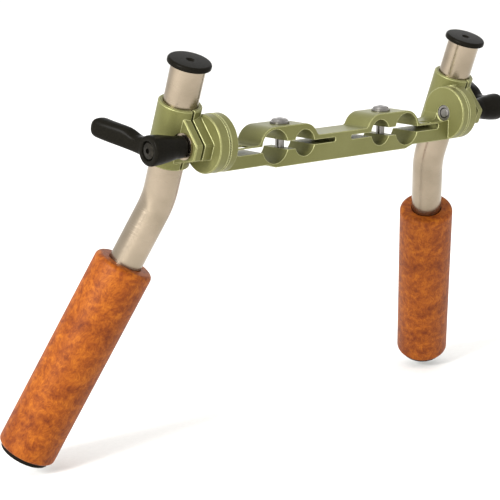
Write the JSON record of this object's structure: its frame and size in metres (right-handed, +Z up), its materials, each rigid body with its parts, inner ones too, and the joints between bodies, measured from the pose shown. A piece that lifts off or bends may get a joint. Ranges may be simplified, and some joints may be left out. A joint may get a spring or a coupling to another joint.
{
  "type": "two-handle rod grip bracket",
  "caption": "Camera hand-grip bracket: a slit rod-clamp bar with a rosette collar at each end, each holding a bent tube with a wooden grip and a clamping lever.",
  "frame": {"origin": "midway between the rod axes, at half the depth of the crossbar", "axes": "+X towards the right-hand handle, +Y along the rods away from the operator, +Z up"},
  "size_m": [0.358, 0.1133, 0.2355],
  "materials": {
    "alloy": "satin, olive gold",
    "tube": "satin, warm nickel",
    "wood": "oiled burl",
    "plastic": "moulded black",
    "steel": "plain"
  },
  "bodies": {
    "bar": {"crossbar": "alloy", "left_clamp_nut": "steel", "right_clamp_nut": "steel", "left_thread_insert": "steel", "right_thread_insert": "steel"},
    "left_bolt": {"left_clamp_bolt": "steel"},
    "right_bolt": {"right_clamp_bolt": "steel"},
    "left_clamp": {"left_collar": "alloy"},
    "left_post": {"left_top_cap": "plastic"},
    "left_handle": {"left_tube": "tube", "left_grip": "wood", "left_bottom_cap": "plastic", "left_cap_screw": "steel"},
    "left_spindle": {"left_stud": "steel", "left_washer": "steel"},
    "left_lever_body": {"left_lever": "plastic", "left_lever_screw": "steel"},
    "right_clamp": {"right_collar": "alloy"},
    "right_post": {"right_top_cap": "plastic"},
    "right_handle": {"right_tube": "tube", "right_grip": "wood", "right_bottom_cap": "plastic", "right_cap_screw": "steel"},
    "right_spindle": {"right_stud": "steel", "right_washer": "steel"},
    "right_lever_body": {"right_lever": "plastic", "right_lever_screw": "steel"}
  },
  "joints": [
    {"name": "left_bolt_turn", "type": "hinge", "parent": "bar", "child": "left_bolt", "pos_m": [-0.04, 0, 0.011], "axis": [0, 0, 1], "continuous": true},
    {"name": "right_bolt_turn", "type": "hinge", "parent": "bar", "child": "right_bolt", "pos_m": [0.04, 0, 0.011], "axis": [0, 0, 1], "continuous": true},
    {"name": "left_tilt", "type": "hinge", "parent": "bar", "child": "left_clamp", "pos_m": [-0.094, -0.006, 0.0058], "axis": [1, 0, 0], "continuous": true},
    {"name": "right_tilt", "type": "hinge", "parent": "bar", "child": "right_clamp", "pos_m": [0.094, -0.006, 0.0058], "axis": [1, 0, 0], "continuous": true},
    {"name": "left_tube_slide", "type": "slide", "parent": "left_clamp", "child": "left_post", "axis": [0, -0.342, 0.9397], "range_m": [-0.02, 0.012]},
    {"name": "right_tube_slide", "type": "slide", "parent": "right_clamp", "child": "right_post", "axis": [0, -0.342, 0.9397], "range_m": [-0.02, 0.012]},
    {"name": "left_tube_turn", "type": "hinge", "parent": "left_post", "child": "left_handle", "pos_m": [-0.1075, 0.00922, 0.01134], "axis": [0, -0.342, 0.9397], "continuous": true},
    {"name": "right_tube_turn", "type": "hinge", "parent": "right_post", "child": "right_handle", "pos_m": [0.1075, 0.00922, 0.01134], "axis": [0, -0.342, 0.9397], "continuous": true},
    {"name": "left_lever_turn", "type": "hinge", "parent": "left_clamp", "child": "left_spindle", "pos_m": [-0.094, -0.006, 0.0058], "axis": [1, 0, 0], "continuous": true},
    {"name": "right_lever_turn", "type": "hinge", "parent": "right_clamp", "child": "right_spindle", "pos_m": [0.094, -0.006, 0.0058], "axis": [1, 0, 0], "continuous": true},
    {"name": "left_lever_lift", "type": "slide", "parent": "left_spindle", "child": "left_lever_body", "axis": [-1, 0, 0], "range_m": [0, 0.004], "stiffness_N_per_m": 1000, "springref_m": -0.002},
    {"name": "right_lever_lift", "type": "slide", "parent": "right_spindle", "child": "right_lever_body", "axis": [1, 0, 0], "range_m": [0, 0.004], "stiffness_N_per_m": 1000, "springref_m": -0.002}
  ]
}
